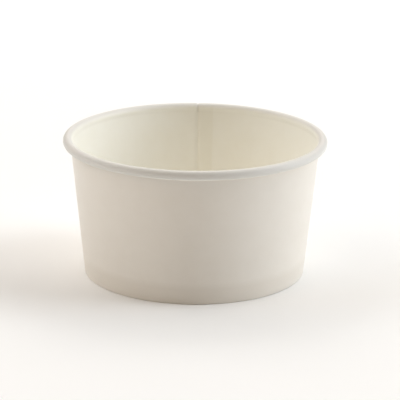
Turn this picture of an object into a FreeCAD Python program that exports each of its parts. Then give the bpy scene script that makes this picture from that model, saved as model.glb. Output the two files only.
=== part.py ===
import FreeCAD, Part
import math
import os

# Paper sundae cup, in millimetres, with +Z up, the foot on z = 0 and the cup's axis on the Z axis.
# One sheet of board is wrapped into the sidewall, lapped at the back, rolled outward at the rim and
# folded inward at the foot. The fold grips the down-turned skirt of the base disc.

# Driving sizes of the cup
rim_diameter = 96.0
cup_height = 51.0
foot_diameter = 80.6
floor_height = 7.4
wall_board = 0.40
base_board = 0.35

# Lapped side seam: its width, the stretch over which the outer layer steps out, and where it stands
lap_width = 6.5
step_width = 2.0
seam_angle = 88.8

# Rolled rim: the clear bore inside the roll and inside its tucked end, where the sheet is lapped
roll_bore = 1.8
tail_bore = 0.4
tail_start_angle = -60.0
tail_turn = 120.0

# Waist under the roll: the roll's inner edge stands inside the line of the wall by this step
waist_step = 0.35
waist_radius = 3.0

# Bend of the floor into its skirt, and the clearances of the two raw edges that the foot hides
floor_fold_radius = 0.40
hem_clearance = 0.40
skirt_clearance = 0.15

# A bend's middle line is drawn as short chords, which stray from the true arc by no more than this
chord_sag = 0.07

# Corners of a section nearer to each other than this are one corner
same_spot = 1e-6


def point(radius, height):
    """Point of the section plane, given by its distance from the cup's axis and its height."""
    return FreeCAD.Vector(radius, 0, height)


def direction(angle):
    """Unit vector of the section plane, turned from outward towards up by the angle in degrees."""
    return point(math.cos(math.radians(angle)), math.sin(math.radians(angle)))


def angle_of(vector):
    """Angle in degrees of a vector of the section plane, turned from outward towards up."""
    return math.degrees(math.atan2(vector.z, vector.x))


class Straight:
    """Straight stretch of a sheet's middle line."""

    def __init__(self, start, end):
        self.start = start
        self.end = end

    def points(self, left):
        """Ends of the line beside the stretch, this far to its left."""
        along = (self.end - self.start).normalize()
        side = point(-along.z, along.x) * left
        return [self.start + side, self.end + side]


class Bend:
    """Round stretch of a sheet's middle line, which turns left where its end angle is the larger one.

    Its chords are counted at the plain radius, so that a layer grown outward has just as many.
    """

    def __init__(self, centre, radius, start_angle, end_angle, growth=0.0):
        turn = end_angle - start_angle
        chord_angle = 2 * math.degrees(math.acos(1 - min(chord_sag / radius, 1)))
        chords = math.ceil(abs(turn) / chord_angle)
        self.centre = centre
        self.radius = radius + growth
        self.angles = [start_angle + turn * step / chords for step in range(chords + 1)]
        self.turns_left = turn > 0

    def points(self, left):
        """Points on the arc beside the stretch, this far to its left."""
        radius = self.radius - left if self.turns_left else self.radius + left
        return [self.centre + direction(angle) * radius for angle in self.angles]


def section(left_line, left, right_line, right):
    """Closed section between two middle lines, each taken this far to its own left."""
    there = [spot for stretch in left_line for spot in stretch.points(left)]
    back = [spot for stretch in right_line for spot in stretch.points(right)]
    ring = there + back[::-1]
    corners = [spot for spot, before in zip(ring, ring[-1:] + ring) if not spot.isEqual(before, same_spot)]
    return Part.makePolygon(corners + corners[:1])


def turned(shape, angle):
    """Copy of a shape turned about the cup's axis by the angle in degrees."""
    copy = shape.copy()
    copy.rotate(FreeCAD.Vector(0, 0, 0), FreeCAD.Vector(0, 0, 1), angle)
    return copy


def revolved(wire, start_angle, angle):
    """Solid swept by a section about the cup's axis."""
    solid = Part.Face(wire).revolve(FreeCAD.Vector(0, 0, 0), FreeCAD.Vector(0, 0, 1), angle)
    return turned(solid, start_angle)


# The roll is a double layer of board around its bore, and its tucked end is a tighter one
roll_radius = roll_bore / 2 + 2 * wall_board
roll_line_radius = roll_radius - wall_board / 2
tail_line_radius = tail_bore / 2 + 2 * wall_board - wall_board / 2
roll_centre = point(rim_diameter / 2 - roll_radius, cup_height - roll_radius)
tail_centre = roll_centre + direction(tail_start_angle) * (roll_line_radius - tail_line_radius)

# The wall's outer face runs up from the foot and passes the roll's centre at a set distance
foot_corner = point(foot_diameter / 2, 0)
face_to_roll = roll_radius - wall_board - waist_step
climb = roll_centre - foot_corner
wall_lean = 90 - angle_of(climb) - math.degrees(math.asin(face_to_roll / climb.Length))
up_wall = direction(90 - wall_lean)
off_wall = direction(-wall_lean)

# The waist bends towards the axis, between the straight wall and the roll
waist_line_radius = waist_radius + wall_board / 2
waist_offset = face_to_roll + wall_board / 2 + waist_line_radius
waist_drop = math.sqrt((waist_line_radius + roll_line_radius) ** 2 - waist_offset ** 2)
waist_centre = roll_centre - off_wall * waist_offset - up_wall * waist_drop
waist_end_angle = angle_of(roll_centre - waist_centre)

# The hem ends below the bend of the base disc, whose skirt fills the space between hem and wall
hem_top = floor_height - base_board - floor_fold_radius - hem_clearance
hem_shift = -(wall_board + base_board)
skirt_shift = hem_shift / 2


def on_wall(shift, height):
    """Point at a height on the wall's middle line, when that line is moved outward by the shift."""
    base = foot_corner + off_wall * (shift - wall_board / 2)
    return base + up_wall * ((height - base.z) / up_wall.z)


def sheet_line(opening):
    """Middle line of the wall sheet from the hem's raw edge, round the foot, up the wall and into the roll.

    The opening is how far this layer lies outside the inner layer: none for the sheet itself, and one
    board where it laps over its own start. The foot keeps its level, pressed flat under both layers.
    """
    fold = wall_board / 2
    hem_fold = on_wall(hem_shift - opening + fold, wall_board)
    wall_fold = on_wall(opening - fold, wall_board)
    hem_end = on_wall(hem_shift, hem_top) - off_wall * opening
    waist = waist_line_radius + opening
    return [
        Straight(hem_end, hem_fold - off_wall * fold),
        Bend(hem_fold, fold, 180 - wall_lean, 270),
        Straight(hem_fold - point(0, fold), wall_fold - point(0, fold)),
        Bend(wall_fold, fold, 270, 360 - wall_lean),
        Straight(wall_fold + off_wall * fold, waist_centre + off_wall * waist),
        Bend(waist_centre, waist_line_radius, -wall_lean, waist_end_angle, opening),
        Bend(roll_centre, roll_line_radius, 180 + waist_end_angle, 90, -opening),
        Bend(roll_centre, roll_line_radius, 90, 0, -opening),
        Bend(roll_centre, roll_line_radius, 0, tail_start_angle, -opening),
        Bend(tail_centre, tail_line_radius, tail_start_angle, tail_start_angle - tail_turn, -opening),
    ]


def single_layer(opening):
    """Section of one layer of the wall sheet."""
    line = sheet_line(opening)
    return section(line, wall_board / 2, line, -wall_board / 2)


def double_layer():
    """Section of the lapped seam, with the outer layer glued on the inner one."""
    return section(sheet_line(0), wall_board / 2, sheet_line(wall_board), -wall_board / 2)


def make_sidewall():
    """Wrapped sheet: a single layer most of the way round, a step outward, and the lap."""
    lap_angle = math.degrees(lap_width / (rim_diameter / 2))
    step_angle = math.degrees(step_width / (rim_diameter / 2))
    wrap = revolved(single_layer(0), seam_angle + step_angle, 360 - lap_angle - step_angle)
    step_start = turned(single_layer(wall_board), seam_angle)
    step_end = turned(single_layer(0), seam_angle + step_angle)
    step = Part.makeLoft([step_start, step_end], True, True)
    lap = revolved(double_layer(), seam_angle - lap_angle, lap_angle)
    return wrap.fuse([step, lap]).removeSplitter().Solids[0]


def make_base_disc():
    """Flat floor with its edge turned down into a skirt, which lies against the wall and the hem."""
    bend = floor_fold_radius + base_board / 2
    floor_line = floor_height - base_board / 2
    skirt_end = on_wall(skirt_shift, wall_board + skirt_clearance)
    bend_centre = on_wall(skirt_shift - bend, floor_line - bend)
    line = [
        Straight(skirt_end, bend_centre + off_wall * bend),
        Bend(bend_centre, bend, -wall_lean, 90),
        Straight(bend_centre + point(0, bend), point(0, floor_line)),
    ]
    return revolved(section(line, base_board / 2, line, -base_board / 2), 0, 360)


os.makedirs("parts", exist_ok=True)
for node, shape in (("sidewall", make_sidewall()), ("base_disc", make_base_disc())):
    shape.exportStep("parts/" + node + ".step")
    print(node, shape.ShapeType, len(shape.Solids), shape.isValid(), round(shape.Volume, 1), shape.BoundBox)
print("wall lean", round(wall_lean, 3), "waist end angle", round(waist_end_angle, 2))
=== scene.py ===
"""Paper sundae cup: one wrapped board sidewall with a rolled rim, and a base disc held in its folded foot."""

import logging
import math
from dataclasses import dataclass, field
from enum import Enum

import bpy
import numpy as np
from mathutils import Matrix, Vector


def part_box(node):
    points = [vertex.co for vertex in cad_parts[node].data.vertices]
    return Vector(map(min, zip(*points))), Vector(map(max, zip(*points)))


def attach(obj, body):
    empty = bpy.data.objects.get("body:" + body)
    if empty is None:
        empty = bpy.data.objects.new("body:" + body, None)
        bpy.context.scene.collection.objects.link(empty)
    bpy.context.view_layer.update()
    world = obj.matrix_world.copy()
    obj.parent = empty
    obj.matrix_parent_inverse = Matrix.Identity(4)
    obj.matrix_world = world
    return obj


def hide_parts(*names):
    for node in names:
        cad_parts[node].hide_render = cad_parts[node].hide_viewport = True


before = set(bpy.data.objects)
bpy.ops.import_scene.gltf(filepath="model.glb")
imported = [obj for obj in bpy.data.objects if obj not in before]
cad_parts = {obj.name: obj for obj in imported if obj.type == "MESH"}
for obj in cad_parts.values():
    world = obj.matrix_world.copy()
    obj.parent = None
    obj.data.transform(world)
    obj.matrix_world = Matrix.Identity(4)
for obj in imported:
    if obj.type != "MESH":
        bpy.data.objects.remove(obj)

LOG = logging.getLogger("paper_cup")
MM = 0.001

# Faces that meet at more than this angle keep a sharp edge between them
SHARP_FROM = math.radians(40)

# Blender's noise runs from 0 to 1, but hardly ever leaves this range
NOISE_LOW, NOISE_HIGH = 0.3, 0.7

Colour = tuple[float, float, float]
Socket = bpy.types.NodeSocket


class Face(Enum):
    """Face of a sheet, named by its side of the middle line. The value is plus one on the left."""

    LEFT = 1.0
    RIGHT = -1.0


class Zone(Enum):
    """Zone of a sheet's surface with a finish of its own. The value is its material slot on the mesh."""

    INNER_FACE = 0
    OUTER_FACE = 1
    CUT_EDGE = 2


def unit(angle: float | np.ndarray) -> np.ndarray:
    """Unit vector of the section plane: distance is the cosine of the angle, and height is its sine.

    Args:
        angle: Turn from outward towards up, in radians, as one number or an array.

    Returns:
        The vectors, with distance and height along the last axis.
    """
    return np.stack([np.cos(angle), np.sin(angle)], axis=-1)


def smooth_step(value: np.ndarray, start: float, end: float) -> np.ndarray:
    """Share that rises from 0 at start to 1 at end along three x squared less two x cubed."""
    share = np.clip((value - start) / (end - start), 0.0, 1.0)
    return share * share * (3.0 - 2.0 * share)


@dataclass(frozen=True)
class SheetLine:
    """Middle line of a sheet in the plane through the cup's axis, as rows of distance and height.

    The shifts say how far each point moves for one unit of opening, when the sheet laps over itself.
    The normals point to the left of the line.
    """

    points: np.ndarray
    shifts: np.ndarray
    normals: np.ndarray

    def then(self, other: "SheetLine") -> "SheetLine":
        """Line that goes on with another one, which starts where this one ends."""
        return SheetLine(
            np.concatenate([self.points, other.points[1:]]),
            np.concatenate([self.shifts, other.shifts[1:]]),
            np.concatenate([self.normals, other.normals[1:]]),
        )

    def lengths(self) -> np.ndarray:
        """Length of the line from its start to each point, as the running sum of its short steps."""
        steps = np.linalg.norm(np.diff(self.points, axis=0), axis=1)
        return np.concatenate([[0.0], np.cumsum(steps)])

    def face(self, side: Face, board: float, opening: np.ndarray) -> np.ndarray:
        """Face of the sheet: the middle line, moved by shift times opening, and by half a board to that side.

        Args:
            side: Face that is wanted.
            board: Thickness of the sheet.
            opening: How far the sheet stands outside its own first layer, one row for each step round,
                with one value for all points of the line or one for each.

        Returns:
            Distances and heights, indexed by the step round and the point along the line.
        """
        moved = self.points + opening[..., None] * self.shifts
        return moved + side.value * board / 2 * self.normals


def straight(
    start: np.ndarray, end: np.ndarray, shifts: tuple[np.ndarray, np.ndarray], steps: int
) -> SheetLine:
    """Straight stretch: start plus a share of the way to the end, with the shift shared in the same way.

    Args:
        start: First point.
        end: Last point.
        shifts: Shift of the first and of the last point.
        steps: Number of steps.

    Returns:
        The stretch.
    """
    share = np.linspace(0.0, 1.0, steps + 1)[:, None]
    along = (end - start) / np.linalg.norm(end - start)
    normals = np.broadcast_to(np.array([-along[1], along[0]]), (steps + 1, 2))
    return SheetLine(start + share * (end - start), shifts[0] + share * (shifts[1] - shifts[0]), normals)


def bend(
    centre: np.ndarray,
    radius: float,
    angles: tuple[float, float],
    steps: int,
    growth: float,
    slide: np.ndarray,
) -> SheetLine:
    """Round stretch: centre plus radius times the unit vector of an angle that runs evenly.

    Args:
        centre: Centre of the arc.
        radius: Radius of the middle line.
        angles: First and last angle. The line turns left where the last one is larger.
        steps: Number of steps.
        growth: Change of the radius for one unit of opening.
        slide: Shift of the centre for one unit of opening.

    Returns:
        The stretch.
    """
    spokes = unit(np.linspace(angles[0], angles[1], steps + 1))
    inward = -1.0 if angles[1] > angles[0] else 1.0
    return SheetLine(centre + radius * spokes, slide + growth * spokes, inward * spokes)


@dataclass(frozen=True)
class CupForm:
    """Form of the cup in its section plane.

    The first three sizes come from the frame. The foot, the roll and the step of the waist follow the
    photograph, and the rest are usual sizes of such cups.
    """

    rim_radius: float
    height: float
    floor_height: float
    foot_radius: float = 40.3 * MM
    wall_board: float = 0.40 * MM
    base_board: float = 0.35 * MM
    roll_bore: float = 1.8 * MM
    tail_bore: float = 0.4 * MM
    tail_start: float = math.radians(-60)
    tail_turn: float = math.radians(120)
    waist_step: float = 0.35 * MM
    waist_radius: float = 3.0 * MM
    floor_fold_radius: float = 0.40 * MM
    crease_radius: float = 0.03 * MM
    hem_clearance: float = 0.40 * MM
    skirt_clearance: float = 0.15 * MM

    @property
    def roll_radius(self) -> float:
        """Outer radius of the roll: half its bore and two boards."""
        return self.roll_bore / 2 + 2 * self.wall_board

    @property
    def roll_line(self) -> float:
        """Radius of the sheet's middle line in the roll."""
        return self.roll_radius - self.wall_board / 2

    @property
    def tail_line(self) -> float:
        """Radius of the sheet's middle line in the tucked end of the roll."""
        return self.tail_bore / 2 + 1.5 * self.wall_board

    @property
    def waist_line(self) -> float:
        """Radius of the sheet's middle line in the waist under the roll."""
        return self.waist_radius + self.wall_board / 2

    @property
    def roll_centre(self) -> np.ndarray:
        """Centre of the roll, one roll radius in from the rim's edge and one below its top."""
        return np.array([self.rim_radius - self.roll_radius, self.height - self.roll_radius])

    @property
    def face_to_roll(self) -> float:
        """Distance at which the line of the wall's outer face passes the roll's centre."""
        return self.roll_radius - self.wall_board - self.waist_step

    @property
    def lean(self) -> float:
        """Lean of the wall from upright, so that it runs from the foot past the roll's centre."""
        climb = self.roll_centre - np.array([self.foot_radius, 0.0])
        return math.atan2(climb[0], climb[1]) - math.asin(self.face_to_roll / float(np.hypot(*climb)))

    @property
    def up_wall(self) -> np.ndarray:
        """Direction up along the wall."""
        return unit(math.pi / 2 - self.lean)

    @property
    def off_wall(self) -> np.ndarray:
        """Direction square off the wall, away from the axis."""
        return unit(-self.lean)

    @property
    def hem_shift(self) -> float:
        """Place of the hem's middle line, measured off the wall's middle line."""
        return -(self.wall_board + self.base_board)

    def on_wall(self, shift: float, height: float) -> np.ndarray:
        """Point at a height on the wall's middle line, when that line is moved outward by the shift.

        Args:
            shift: Distance off the middle line, outward being plus.
            height: Height above the table.

        Returns:
            Distance from the axis and height.
        """
        base = np.array([self.foot_radius, 0.0]) + self.off_wall * (shift - self.wall_board / 2)
        return base + self.up_wall * ((height - base[1]) / self.up_wall[1])


@dataclass(frozen=True)
class Settling:
    """How far the finished cup strays from a true round: slow waves round the wall, least at the foot.

    Each wave has its number of lobes, its phase and its reach at the rim. The band below the floor is
    pressed in a little where the foot was crimped.
    """

    rim_radius: float
    height: float
    floor_height: float
    waves: tuple[tuple[int, float, float], ...] = (
        (2, 0.6, 0.05 * MM),
        (3, 2.1, 0.04 * MM),
        (7, 4.0, 0.015 * MM),
    )
    foot_share: float = 0.25
    press: float = 0.04 * MM
    press_height: float = 1.2 * MM

    def radial(self, angle: np.ndarray, height: np.ndarray) -> np.ndarray:
        """Outward push: the sum of the cosine waves, growing from the foot's share to all of it at the rim.

        Args:
            angle: Angle round the axis.
            height: Height above the table.

        Returns:
            The push, in the shape that the two arrays broadcast to.
        """
        grown = self.foot_share + (1 - self.foot_share) * np.clip(height / self.height, 0.0, 1.0) ** 2
        waves = sum(reach * np.cos(lobes * angle + phase) for lobes, phase, reach in self.waves)
        top = self.floor_height
        pressed = 1.0 - smooth_step(height, top - self.press_height, top)
        return waves * grown - self.press * pressed

    def place(self, section: np.ndarray, angle: np.ndarray) -> np.ndarray:
        """Points in space: each section point, pushed outward in step with its distance, then turned.

        Args:
            section: Distances and heights, indexed by the step round and the point of the section.
            angle: Angle round the axis of each step round.

        Returns:
            Points in space, in the same order.
        """
        turn = angle[:, None]
        height = section[..., 1]
        distance = section[..., 0] + self.radial(turn, height) * section[..., 0] / self.rim_radius
        return np.stack([distance * np.cos(turn), distance * np.sin(turn), height], axis=-1)


def mesh_object(
    name: str, points: np.ndarray, faces: list[np.ndarray], zones: np.ndarray, chart: np.ndarray
) -> bpy.types.Object:
    """Object with a mesh of these points and faces, shaded smooth up to its sharp edges.

    Args:
        name: Name of the piece.
        points: Points in space, one row each.
        faces: Arrays of point numbers, one row for each face, each array with faces of one size.
        zones: Zone number of each face, in the order of the faces.
        chart: Place of each point on the flat sheet, in shares of its width and height, for the UV map.

    Returns:
        The object, linked to the scene.
    """
    corners = np.concatenate([block.ravel() for block in faces])
    sizes = np.concatenate([np.full(len(block), block.shape[1]) for block in faces])
    starts = np.concatenate([[0], np.cumsum(sizes)[:-1]])
    mesh = bpy.data.meshes.new(name)
    mesh.vertices.add(len(points))
    mesh.vertices.foreach_set("co", points.astype(np.float32).ravel())
    mesh.loops.add(len(corners))
    mesh.loops.foreach_set("vertex_index", corners.astype(np.int32))
    mesh.polygons.add(len(sizes))
    mesh.polygons.foreach_set("loop_start", starts.astype(np.int32))
    mesh.polygons.foreach_set("material_index", zones.astype(np.int32))
    mesh.update(calc_edges=True)
    layer = mesh.uv_layers.new(name="sheet")
    layer.data.foreach_set("uv", chart[corners].astype(np.float32).ravel())
    mesh.shade_smooth()
    mesh.set_sharp_from_angle(angle=SHARP_FROM)
    mesh.validate()
    piece = bpy.data.objects.new(name, mesh)
    bpy.context.scene.collection.objects.link(piece)
    return piece


class Shading:
    """Node tree of one material, with short calls that add its nodes."""

    def __init__(self, name: str) -> None:
        """Starts a material whose tree holds only the shader and the output.

        Args:
            name: Name of the material.
        """
        self.material = bpy.data.materials.new(name)
        self.material.use_nodes = True
        self.tree = self.material.node_tree
        self.shader = self.tree.nodes["Principled BSDF"]

    def node(self, kind: str, **settings: object) -> bpy.types.Node:
        """Adds a node.

        Args:
            kind: Kind of node, as its type is named after the word ShaderNode.
            **settings: Values of the node's properties.

        Returns:
            The node.
        """
        made = self.tree.nodes.new("ShaderNode" + kind)
        for key, value in settings.items():
            setattr(made, key, value)
        return made

    def join(self, source: Socket, target: Socket) -> None:
        """Joins an output to an input."""
        self.tree.links.new(source, target)

    def object_coordinates(self) -> Socket:
        """Coordinates of the piece in metres."""
        return self.node("TexCoord").outputs["Object"]

    def sheet_coordinates(self, width: float, height: float) -> Socket:
        """Coordinates on the flat sheet in metres: the UV map's shares times the sheet's width and height.

        Args:
            width: Width of the flat sheet.
            height: Height of the flat sheet.

        Returns:
            The coordinates.
        """
        chart = self.node("UVMap", uv_map="sheet")
        scale = self.node("Mapping")
        scale.inputs["Scale"].default_value = (width, height, 1.0)
        self.join(chart.outputs["UV"], scale.inputs["Vector"])
        return scale.outputs["Vector"]

    def stretched(self, place: Socket, scale: tuple[float, float, float]) -> Socket:
        """Multiplies coordinates by a scale on each axis.

        Args:
            place: Coordinates in metres.
            scale: Scale on each axis.

        Returns:
            The new coordinates.
        """
        mapping = self.node("Mapping")
        mapping.inputs["Scale"].default_value = scale
        self.join(place, mapping.inputs["Vector"])
        return mapping.outputs["Vector"]

    def noise(self, place: Socket, grain: float, detail: float = 3.0) -> Socket:
        """Noise whose grains are this wide.

        Args:
            place: Coordinates in metres.
            grain: Width of a grain.
            detail: Number of finer layers.

        Returns:
            A value near one half, from 0 to 1.
        """
        made = self.node("TexNoise")
        made.inputs["Scale"].default_value = 1.0 / grain
        made.inputs["Detail"].default_value = detail
        self.join(place, made.inputs["Vector"])
        return made.outputs["Fac"]

    def spread(self, value: Socket, low: float, high: float) -> Socket:
        """Stretches a noise so that its usual range runs from low to high.

        Args:
            value: Noise.
            low: New value at the low end of the range.
            high: New value at the high end of the range.

        Returns:
            The new value.
        """
        made = self.node("MapRange")
        made.inputs["From Min"].default_value = NOISE_LOW
        made.inputs["From Max"].default_value = NOISE_HIGH
        made.inputs["To Min"].default_value = low
        made.inputs["To Max"].default_value = high
        self.join(value, made.inputs["Value"])
        return made.outputs["Result"]

    def blend(self, share: Socket, first: Colour | Socket, second: Colour) -> Socket:
        """Colour that goes from the first to the second as the share goes from 0 to 1.

        Args:
            share: Share of the second colour.
            first: Colour, or the output of a node that gives one.
            second: Colour.

        Returns:
            The blended colour.
        """
        made = self.node("Mix", data_type="RGBA")
        self.join(share, made.inputs["Factor"])
        if isinstance(first, tuple):
            made.inputs["A"].default_value = (*first, 1.0)
        else:
            self.join(first, made.inputs["A"])
        made.inputs["B"].default_value = (*second, 1.0)
        return made.outputs["Result"]

    def bumps(self, layers: list[tuple[Socket, float]]) -> Socket:
        """Normal with several heights laid over each other.

        Args:
            layers: Height value and depth in metres of each layer.

        Returns:
            The normal.
        """
        normal = None
        for value, depth in layers:
            made = self.node("Bump")
            made.inputs["Strength"].default_value = 1.0
            made.inputs["Distance"].default_value = depth
            self.join(value, made.inputs["Height"])
            if normal is not None:
                self.join(normal, made.inputs["Normal"])
            normal = made.outputs["Normal"]
        return normal


@dataclass(frozen=True)
class BoardFinish:
    """Coated cup board: off-white, smooth and softly glossy, with faint clouds and fibres under its coating.

    Its darker layered and rolled tones are painted shade, laid on where the marks on the mesh are full.
    """

    name: str
    tone: Colour
    cloud_tone: Colour
    # Painted shade: a darker tone for the lap and the band beside the floor.
    layered_shade_tone: Colour
    # Painted shade: a darker tone on the roll's crest and outside.
    roll_shade_tone: Colour = (0.745, 0.724, 0.680)
    gloss: tuple[float, float] = (0.40, 0.50)
    specular: float = 0.40
    cloud_grain: float = 6.0 * MM
    fibre_grain: float = 0.35 * MM
    fibre_depth: float = 0.006 * MM
    ripple_grain: float = 3.0 * MM
    ripple_depth: float = 0.03 * MM
    ripple_detail: float = 1.0
    fibre_stretch: float = 0.35

    def material(self, sheet_size: tuple[float, float] | None) -> bpy.types.Material:
        """Makes the material.

        Args:
            sheet_size: Width and height of the flat sheet, whose fibres run along the width. None for a disc.

        Returns:
            The material.
        """
        paint = Shading(self.name)
        place = paint.sheet_coordinates(*sheet_size) if sheet_size else paint.object_coordinates()
        fibres = paint.noise(paint.stretched(place, (self.fibre_stretch, 1.0, 1.0)), self.fibre_grain)
        clouds = paint.noise(place, self.cloud_grain)
        ripples = paint.noise(place, self.ripple_grain, self.ripple_detail)
        colour = paint.blend(paint.spread(clouds, 0.0, 1.0), self.tone, self.cloud_tone)
        # Painted shade: the layered mark darkens the lap and the foot band.
        layered_shade = paint.node("Attribute", attribute_name="layered_shade")
        colour = paint.blend(layered_shade.outputs["Fac"], colour, self.layered_shade_tone)
        # Painted shade: the rolled mark darkens the roll's crest and outside.
        rolled = paint.node("Attribute", attribute_name="rolled")
        colour = paint.blend(rolled.outputs["Fac"], colour, self.roll_shade_tone)
        paint.join(colour, paint.shader.inputs["Base Color"])
        paint.join(paint.spread(fibres, *self.gloss), paint.shader.inputs["Roughness"])
        paint.shader.inputs["Specular IOR Level"].default_value = self.specular
        normal = paint.bumps([(ripples, self.ripple_depth), (fibres, self.fibre_depth)])
        paint.join(normal, paint.shader.inputs["Normal"])
        return paint.material


def inner_face_finish(name: str) -> BoardFinish:
    """Finish of the food side of the board: off-white, painted brighter than the outside as light shining
    through it.
    """
    # The food side's brighter tones are painted light, for light that shines through the thin board from
    # outside.
    return BoardFinish(name, (0.940, 0.922, 0.852), (0.930, 0.909, 0.830), (0.880, 0.852, 0.752))


def outer_face_finish(name: str) -> BoardFinish:
    """Finish of the outside of the board, darker and a little warmer in tone than the food side."""
    return BoardFinish(name, (0.865, 0.815, 0.740), (0.852, 0.800, 0.723), (0.812, 0.757, 0.677))


@dataclass(frozen=True)
class CutEdgeFinish:
    """Cut edge of the board: uncoated, matt and a little fuzzy, with the plies as fine streaks."""

    name: str
    tone: Colour = (0.780, 0.730, 0.640)
    ply_tone: Colour = (0.700, 0.640, 0.540)
    roughness: float = 0.85
    ply_grain: float = 0.12 * MM
    ply_detail: float = 4.0
    depth: float = 0.02 * MM

    def material(self) -> bpy.types.Material:
        """Makes the material.

        Returns:
            The material.
        """
        paint = Shading(self.name)
        plies = paint.noise(paint.object_coordinates(), self.ply_grain, self.ply_detail)
        colour = paint.blend(paint.spread(plies, 0.0, 1.0), self.tone, self.ply_tone)
        paint.join(colour, paint.shader.inputs["Base Color"])
        paint.shader.inputs["Roughness"].default_value = self.roughness
        paint.join(paint.bumps([(plies, self.depth)]), paint.shader.inputs["Normal"])
        return paint.material


@dataclass(frozen=True)
class TableFinish:
    """Plain pale matt table."""

    name: str
    tone: Colour = (0.93, 0.93, 0.925)
    mottled_tone: Colour = (0.925, 0.925, 0.92)
    roughness: float = 0.9
    grain: float = 40 * MM

    def material(self) -> bpy.types.Material:
        """Makes the material.

        Returns:
            The material.
        """
        paint = Shading(self.name)
        mottle = paint.spread(paint.noise(paint.object_coordinates(), self.grain), 0.0, 1.0)
        paint.join(paint.blend(mottle, self.tone, self.mottled_tone), paint.shader.inputs["Base Color"])
        paint.shader.inputs["Roughness"].default_value = self.roughness
        return paint.material


@dataclass
class Sidewall:
    """Wrapped sheet: folded hem, foot, wall, waist and rolled rim, lapped over its own start at the seam."""

    form: CupForm
    settling: Settling
    seam_angle: float = math.radians(88.8)
    lap_width: float = 6.5 * MM
    step_width: float = 2.0 * MM
    steps_round: int = 780
    hem_steps: int = 6
    fold_steps: int = 4
    wall_steps: int = 18
    waist_steps: int = 4
    roll_steps: int = 17
    tail_steps: int = 7
    glue_gap: float = 0.01 * MM
    edge_press: float = 0.22 * MM
    edge_press_width: float = 1.4 * MM
    ironed_share: float = 0.6
    layer_blur: float = 0.7 * MM
    lap_shade_share: float = 0.55
    knurl_pitch: float = 2.4 * MM
    knurl_depth: float = 0.05 * MM
    knurl_margin: float = 0.9 * MM
    edge_finish: CutEdgeFinish = field(default_factory=lambda: CutEdgeFinish("cut_sidewall_edge"))

    def line(self) -> SheetLine:
        """Middle line from the hem's raw edge, round the foot, up the wall and into the roll.

        Returns:
            The line, in which each stretch meets the next one without a kink.
        """
        form, board = self.form, self.form.wall_board
        off, up, none = form.off_wall, form.up_wall, np.zeros(2)
        sideways = np.array([1.0 / math.cos(form.lean), 0.0])
        fold = board / 2 + form.crease_radius
        hem_fold = form.on_wall(form.hem_shift + fold, board / 2 + fold)
        wall_fold = form.on_wall(-fold, board / 2 + fold)
        hem_top = form.floor_height - form.base_board - form.floor_fold_radius - form.hem_clearance
        drop = np.array([0.0, fold])
        offset = form.face_to_roll + board / 2 + form.waist_line
        waist_drop = math.sqrt((form.waist_line + form.roll_line) ** 2 - offset**2)
        waist_centre = form.roll_centre - off * offset - up * waist_drop
        towards_roll = form.roll_centre - waist_centre
        waist_end = math.atan2(towards_roll[1], towards_roll[0])
        tail_centre = form.roll_centre + unit(form.tail_start) * (form.roll_line - form.tail_line)
        hem_turn = (math.pi - form.lean, 1.5 * math.pi)
        wall_turn = (1.5 * math.pi, 2 * math.pi - form.lean)
        waist_turn = (-form.lean, waist_end)
        roll_turn = (math.pi + waist_end, form.tail_start)
        tail_turn = (form.tail_start, form.tail_start - form.tail_turn)
        wall_start, wall_end = wall_fold + off * fold, waist_centre + off * form.waist_line
        hem_start, hem_end = form.on_wall(form.hem_shift, hem_top), hem_fold - off * fold
        stretches = [
            bend(hem_fold, fold, hem_turn, self.fold_steps, 0.0, -sideways),
            straight(hem_fold - drop, wall_fold - drop, (-sideways, sideways), 1),
            bend(wall_fold, fold, wall_turn, self.fold_steps, 0.0, sideways),
            straight(wall_start, wall_end, (sideways, off), self.wall_steps),
            bend(waist_centre, form.waist_line, waist_turn, self.waist_steps, 1.0, none),
            bend(form.roll_centre, form.roll_line, roll_turn, self.roll_steps, -1.0, none),
            bend(tail_centre, form.tail_line, tail_turn, self.tail_steps, -1.0, none),
        ]
        whole = straight(hem_start, hem_end, (-off, -sideways), self.hem_steps)
        for stretch in stretches:
            whole = whole.then(stretch)
        return whole

    def turns(self) -> np.ndarray:
        """How far round the sheet each step is, in radians from its inner cut edge to the end of the lap."""
        lap = self.lap_width / self.form.rim_radius
        return np.linspace(0.0, 2 * math.pi + lap, self.steps_round)

    def opening(self, wrap: np.ndarray, step_width: float) -> np.ndarray:
        """Opening of the sheet: none, then a smooth rise just before the lap, then one board along the lap.

        Args:
            wrap: How far round the sheet each step is.
            step_width: Width of the rise.

        Returns:
            The opening at each step.
        """
        once = 2 * math.pi
        start = once - step_width / self.form.rim_radius
        return (self.form.wall_board + self.glue_gap) * smooth_step(wrap, start, once)

    def knurls(self, line: SheetLine, angle: np.ndarray) -> np.ndarray:
        """Crimp marks on the hem: a squared sine round the cup that fades before the hem's edge and its fold.

        Args:
            line: Middle line of the sheet.
            angle: Angle round the axis of each step round.

        Returns:
            Depth of the marks, indexed by the step round and the point along the line.
        """
        height = line.points[:, 1]
        top = height[0]
        on_hem = (line.points[:, 0] < self.form.on_wall(self.form.hem_shift / 2, 0.0)[0]) & (height <= top)
        band = smooth_step(height, self.knurl_margin, 2 * self.knurl_margin)
        band = band * (1.0 - smooth_step(height, top - 2 * self.knurl_margin, top - self.knurl_margin))
        ribs = round(2 * math.pi * self.form.foot_radius / self.knurl_pitch)
        return self.knurl_depth * np.sin(ribs / 2 * angle[:, None]) ** 2 * (band * on_hem)[None, :]

    def rolled(self, height: np.ndarray) -> np.ndarray:
        """Share that rises from 0 at the level of the roll's underside to 1 a little higher."""
        bottom = self.form.height - 2 * self.form.roll_radius
        return smooth_step(height, bottom, bottom + self.layer_blur)

    def pressed_edge(self, wrap: np.ndarray) -> np.ndarray:
        """Depth to which the lap's inner cut edge is pressed when it's glued, fading out along the sheet.

        Args:
            wrap: How far round the sheet each step is.

        Returns:
            Depth at each step.
        """
        width = self.edge_press_width / self.form.rim_radius
        return self.edge_press * (1.0 - smooth_step(wrap, 0.0, width))

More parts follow.
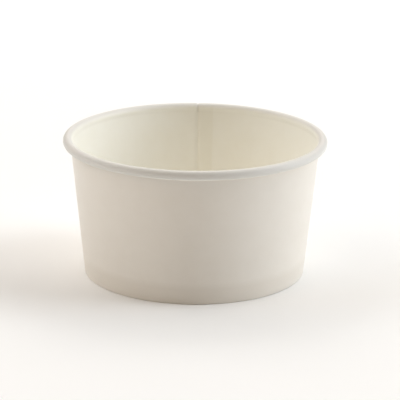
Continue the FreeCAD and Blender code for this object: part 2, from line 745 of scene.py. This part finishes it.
    def rings(self, line: SheetLine, wrap: np.ndarray) -> np.ndarray:
        """Section of the sheet at each step round: its left face up the line and its right face back down.

        The seam is ironed on the roll: the left face steps over less width there, with a less pressed edge.

        Args:
            line: Middle line of the sheet.
            wrap: How far round the sheet each step is.

        Returns:
            Distances and heights, indexed by the step round and the point of the section.
        """
        rolled = self.rolled(line.points[:, 1])
        wide = self.opening(wrap, self.step_width)[:, None]
        narrow = self.opening(wrap, self.step_width * (1.0 - self.ironed_share))[:, None]
        left = line.face(Face.LEFT, self.form.wall_board, wide + rolled * (narrow - wide))
        right = line.face(Face.RIGHT, self.form.wall_board, wide)
        pressed = self.pressed_edge(wrap)[:, None] * (1.0 - self.ironed_share * rolled)
        left = left - pressed[..., None] * line.normals
        right = right + self.knurls(line, self.seam_angle - wrap)[..., None] * line.normals
        return np.concatenate([left, right[:, ::-1]], axis=1)

    def skin(self, rounds: int, count: int) -> tuple[np.ndarray, np.ndarray]:
        """Faces between neighbouring sections, and a strip of faces that closes the sheet at each cut edge.

        Args:
            rounds: Number of sections.
            count: Number of points in a section.

        Returns:
            Point numbers of each face, and the zone number of each face.
        """
        numbers = np.arange(rounds * count).reshape(rounds, count)
        here, there = numbers[:-1], numbers[1:]
        between = np.stack([here, there, np.roll(there, -1, axis=1), np.roll(here, -1, axis=1)], axis=-1)
        half = count // 2
        zones = np.full(between.shape[:2], Zone.INNER_FACE.value)
        zones[:, half:] = Zone.OUTER_FACE.value
        zones[:, [half - 1, count - 1]] = Zone.CUT_EDGE.value
        first, last = numbers[0], numbers[-1]
        up, back = np.arange(half), count - 1 - np.arange(half)
        start = np.stack([first[up[:-1]], first[up[1:]], first[back[1:]], first[back[:-1]]], axis=-1)
        end = np.stack([last[up[:-1]], last[back[:-1]], last[back[1:]], last[up[1:]]], axis=-1)
        faces = np.concatenate([between.reshape(-1, 4), start, end])
        cuts = np.full(len(start) + len(end), Zone.CUT_EDGE.value)
        return faces, np.concatenate([zones.ravel(), cuts])

    def build(self) -> bpy.types.Object:
        """Builds the sheet: its sections turned round the axis and joined by faces, then dressed.

        Returns:
            The piece, riding on the cup's one body.
        """
        line, wrap = self.line(), self.turns()
        rings = self.rings(line, wrap)
        points = self.settling.place(rings, self.seam_angle - wrap)
        faces, zones = self.skin(*points.shape[:2])
        lengths = line.lengths()
        share = np.concatenate([lengths, lengths[::-1]]) / lengths[-1]
        chart = np.stack(np.broadcast_arrays((wrap / wrap[-1])[:, None], share[None, :]), axis=-1)
        piece = mesh_object("paper_sidewall", points.reshape(-1, 3), [faces], zones, chart.reshape(-1, 2))
        self.mark_painted_shade(piece, wrap, rings)
        sheet_size = (wrap[-1] * self.form.rim_radius, lengths[-1])
        piece.data.materials.append(inner_face_finish("sidewall_food_side").material(sheet_size))
        piece.data.materials.append(outer_face_finish("sidewall_outside").material(sheet_size))
        piece.data.materials.append(self.edge_finish.material())
        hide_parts("sidewall")
        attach(piece, "root")
        return piece

    def mark_painted_shade(self, piece: bpy.types.Object, wrap: np.ndarray, rings: np.ndarray) -> None:
        """Marks painted shade: darker tones where the board lies doubled and lets less light through.

        The layered mark is full beside the floor's skirt and hem, where it is also shade near the table,
        and weaker on the lap. The rolled mark is full on the crest and the outside of the roll, and fades
        out towards the inner wall.

        Args:
            piece: Piece whose mesh gets the attributes.
            wrap: How far round the sheet each step is.
            rings: Distances and heights, indexed by the step round and the point of the section.
        """
        once = 2 * math.pi
        lap = wrap[-1] - once
        soft = self.layer_blur / self.form.rim_radius
        # Weaker painted shade along the lap, where the board lies doubled.
        lapped = 1.0 - smooth_step(wrap, lap - soft, lap) + smooth_step(wrap, once, once + soft)
        height = rings[..., 1]
        foot_top = self.form.floor_height
        # Painted shade on the band below the floor, for the shade near the table and the doubled board.
        foot_band_shade = 1.0 - smooth_step(height, foot_top - self.layer_blur, foot_top)
        crest, reach = self.form.roll_centre[0], self.form.roll_radius
        # Painted shade on the crest and the outside of the roll, fading towards the inner wall.
        painted_roll_shade = self.rolled(height) * smooth_step(rings[..., 0], crest - reach, crest - reach / 2)
        layered_shade = np.maximum(foot_band_shade, self.lap_shade_share * lapped[:, None])
        for name, value in (("layered_shade", layered_shade), ("rolled", painted_roll_shade)):
            mark = piece.data.attributes.new(name, "FLOAT", "POINT")
            mark.data.foreach_set("value", value.astype(np.float32).ravel())


@dataclass
class BaseDisc:
    """Round of board with its edge turned down into a skirt, which stands between the wall and the hem."""

    form: CupForm
    settling: Settling
    steps_round: int = 360
    skirt_steps: int = 6
    fold_steps: int = 8
    floor_steps: int = 24
    dish: float = 0.20 * MM
    ring_radius: float = 36.0 * MM
    ring_width: float = 1.6 * MM
    ring_depth: float = 0.08 * MM
    glue_gap: float = 0.01 * MM
    edge_finish: CutEdgeFinish = field(default_factory=lambda: CutEdgeFinish("cut_base_edge"))

    def line(self) -> SheetLine:
        """Middle line from the skirt's raw edge, up and round the bend, and in to the cup's axis.

        Returns:
            The line.
        """
        form, none = self.form, np.zeros(2)
        turn = form.floor_fold_radius + form.base_board / 2
        floor_line = form.floor_height - form.base_board / 2
        skirt = form.hem_shift / 2
        start = form.on_wall(skirt, form.wall_board + form.skirt_clearance)
        centre = form.on_wall(skirt - turn, floor_line - turn)
        floor_start = centre + np.array([0.0, turn])
        line = straight(start, centre + form.off_wall * turn, (none, none), self.skirt_steps)
        line = line.then(bend(centre, turn, (-form.lean, math.pi / 2), self.fold_steps, 0.0, none))
        return line.then(straight(floor_start, np.array([0.0, floor_line]), (none, none), self.floor_steps))

    def relief(self, distance: np.ndarray) -> np.ndarray:
        """Height of the floor off its plane: a shallow dish, less a soft ring where the die pressed it.

        Args:
            distance: Distance from the axis.

        Returns:
            The height, which is zero from the bend outward.
        """
        inner = self.ring_radius + 2 * self.ring_width
        dish = -self.dish * np.clip(1.0 - (distance / inner) ** 2, 0.0, 1.0)
        ring = -self.ring_depth * np.exp(-(((distance - self.ring_radius) / self.ring_width) ** 2))
        fading = np.clip((inner - distance) / self.ring_width, 0.0, 1.0)
        return np.where(distance < inner, dish + ring * fading, 0.0)

    def chain(self) -> tuple[np.ndarray, int]:
        """Section of the disc, from the pole of the upper face out to the skirt's edge and back underneath.

        Returns:
            Distances and heights of the section's points, and how many of them are on the upper face.
        """
        line, still = self.line(), np.zeros((1, 1))
        board = self.form.base_board - 2 * self.glue_gap
        under = line.face(Face.LEFT, board, still)[0]
        upper = line.face(Face.RIGHT, board, still)[0]
        chain = np.concatenate([upper[::-1], under])
        chain[:, 1] += self.relief(chain[:, 0])
        return chain, len(upper)

    def skin(self, count: int, upper: int) -> tuple[list[np.ndarray], np.ndarray]:
        """Faces between neighbouring sections, and a fan of triangles round each pole.

        Args:
            count: Number of points in a section, without its two poles.
            upper: How many of them are on the upper face, with its pole.

        Returns:
            Point numbers of the quads, the top fan and the bottom fan, and the zone number of each face.
        """
        numbers = np.arange(self.steps_round * count).reshape(self.steps_round, count)
        following = np.roll(numbers, -1, axis=0)
        between = np.stack([numbers[:, :-1], numbers[:, 1:], following[:, 1:], following[:, :-1]], axis=-1)
        top = np.full(self.steps_round, numbers.size)
        top_fan = np.stack([top, numbers[:, 0], following[:, 0]], axis=-1)
        bottom_fan = np.stack([numbers[:, -1], top + 1, following[:, -1]], axis=-1)
        zones = np.full(between.shape[:2], Zone.INNER_FACE.value)
        zones[:, upper - 1 :] = Zone.OUTER_FACE.value
        zones[:, upper - 2] = Zone.CUT_EDGE.value
        fans = np.repeat([Zone.INNER_FACE.value, Zone.OUTER_FACE.value], self.steps_round)
        return [between.reshape(-1, 4), top_fan, bottom_fan], np.concatenate([zones.ravel(), fans])

    def build(self) -> bpy.types.Object:
        """Builds the disc: its section turned all the way round, with a pole in the middle of each face.

        Returns:
            The piece, dressed and riding on the cup's one body.
        """
        chain, upper = self.chain()
        middle = chain[1:-1]
        angle = np.linspace(0.0, 2 * math.pi, self.steps_round, endpoint=False)
        rings = self.settling.place(np.broadcast_to(middle, (self.steps_round, *middle.shape)), angle)
        poles = np.array([[0.0, 0.0, chain[0, 1]], [0.0, 0.0, chain[-1, 1]]])
        points = np.concatenate([rings.reshape(-1, 3), poles])
        faces, zones = self.skin(len(middle), upper)
        chart = points[:, :2] / (2 * self.form.rim_radius) + 0.5
        piece = mesh_object("paper_base_disc", points, faces, zones, chart)
        piece.data.materials.append(inner_face_finish("base_food_side").material(None))
        piece.data.materials.append(outer_face_finish("base_underside").material(None))
        piece.data.materials.append(self.edge_finish.material())
        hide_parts("base_disc")
        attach(piece, "root")
        return piece


@dataclass(frozen=True)
class Lamp:
    """Soft box: a square flat light that faces the cup and is hidden from the camera.

    Its azimuth turns from behind the cup towards the right, as the camera sees it.
    """

    name: str
    azimuth: float
    elevation: float
    size: float
    power: float
    colour: Colour
    distance: float = 2.0

    def hang(self) -> None:
        """Hangs the light at its distance from the foot of the cup, and turns it there."""
        turn, rise = math.radians(self.azimuth), math.radians(self.elevation)
        outward = Vector((math.sin(turn) * math.cos(rise), math.cos(turn) * math.cos(rise), math.sin(rise)))
        data = bpy.data.lights.new(self.name, "AREA")
        data.size = self.size
        data.energy = self.power
        data.color = self.colour
        lamp = bpy.data.objects.new(self.name, data)
        lamp.location = outward * self.distance
        lamp.rotation_euler = (-outward).to_track_quat("-Z", "Y").to_euler()
        lamp.visible_camera = False
        bpy.context.scene.collection.objects.link(lamp)


@dataclass
class Studio:
    """Pale table, soft lights and the camera, which stands where the photograph was taken from."""

    image_pixels: int = 400
    focal_pixels: float = 2330.0
    sensor_width: float = 36.0
    pitch: float = math.radians(17.035)
    roll: float = math.radians(0.574)
    distance: float = 855.0 * MM
    aimed_height: float = 25.0 * MM
    aim_pixels: tuple[float, float] = (194.67, 203.72)
    table_size: float = 12.0
    finish: TableFinish = field(default_factory=lambda: TableFinish("pale_table"))
    lamps: tuple[Lamp, ...] = (
        Lamp("back_box", 0, 45, 1.20, 8.4, (1.0, 0.95, 0.90)),
        Lamp("right_back_box", 45, 45, 1.20, 10.4, (1.0, 0.96, 0.91)),
        Lamp("left_back_box", 315, 45, 1.20, 9.2, (1.0, 0.96, 0.92)),
        Lamp("right_box", 90, 45, 1.20, 14.8, (0.91, 0.955, 1.0)),
        Lamp("left_box", 270, 45, 1.20, 7.6, (0.91, 0.955, 1.0)),
        Lamp("front_left_box", 225, 45, 1.20, 7.6, (1.0, 0.79, 0.57)),
        Lamp("low_back_box", 0, 14, 0.84, 1.8, (1.0, 0.97, 0.94)),
        Lamp("low_right_box", 90, 14, 0.84, 14.8, (0.91, 0.955, 1.0)),
        Lamp("low_left_box", 270, 14, 0.84, 5.2, (0.91, 0.955, 1.0)),
        Lamp("low_left_back_box", 315, 14, 0.84, 1.4, (0.95, 0.97, 1.0)),
        Lamp("top_box", 0, 90, 2.40, 4.4, (1.0, 0.92, 0.82)),
    )

    def lay_table(self) -> None:
        """Lays the table top at the height of the cup's foot."""
        half = self.table_size / 2
        corners = np.array([[-half, -half, 0.0], [half, -half, 0.0], [half, half, 0.0], [-half, half, 0.0]])
        face = np.array([[0, 1, 2, 3]])
        chart = corners[:, :2] / self.table_size + 0.5
        table = mesh_object("table_top", corners, [face], np.zeros(1), chart)
        table.data.materials.append(self.finish.material())

    def light(self) -> None:
        """Hangs the lights in dark surroundings."""
        for lamp in self.lamps:
            lamp.hang()
        world = bpy.data.worlds.new("dark_surroundings")
        world.use_nodes = True
        world.node_tree.nodes["Background"].inputs["Strength"].default_value = 0.0
        bpy.context.scene.world = world
        bpy.context.scene.view_settings.view_transform = "Standard"

    def set_camera(self) -> None:
        """Sets the camera: it looks down by the pitch, and its aim puts the cup's middle at its pixel."""
        back = Vector((0.0, -math.cos(self.pitch), math.sin(self.pitch)))
        above = Vector((0.0, math.sin(self.pitch), math.cos(self.pitch)))
        metres_per_pixel = self.distance / self.focal_pixels
        across = (self.image_pixels / 2 - self.aim_pixels[0]) * metres_per_pixel
        up = (self.aim_pixels[1] - self.image_pixels / 2) * metres_per_pixel
        aim = Vector((across, 0.0, self.aimed_height)) + above * up
        data = bpy.data.cameras.new("camera")
        data.sensor_width = self.sensor_width
        data.lens = self.focal_pixels / self.image_pixels * self.sensor_width
        camera = bpy.data.objects.new("camera", data)
        turn = (-back).to_track_quat("-Z", "Y").to_matrix().to_4x4() @ Matrix.Rotation(self.roll, 4, "Z")
        camera.matrix_world = Matrix.Translation(aim + back * self.distance) @ turn
        bpy.context.scene.collection.objects.link(camera)
        bpy.context.scene.camera = camera


def main() -> None:
    """Builds the cup's two pieces, dresses them, and sets the studio round them."""
    logging.basicConfig(level=logging.INFO)
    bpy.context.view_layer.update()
    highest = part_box("sidewall")[1]
    form = CupForm(rim_radius=highest[0], height=highest[2], floor_height=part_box("base_disc")[1][2])
    settling = Settling(form.rim_radius, form.height, form.floor_height)
    for part in (Sidewall(form, settling), BaseDisc(form, settling)):
        piece = part.build()
        LOG.info("%s: %d points, %d faces", piece.name, len(piece.data.vertices), len(piece.data.polygons))
    studio = Studio()
    studio.lay_table()
    studio.light()
    studio.set_camera()


if __name__ == "__main__":
    main()
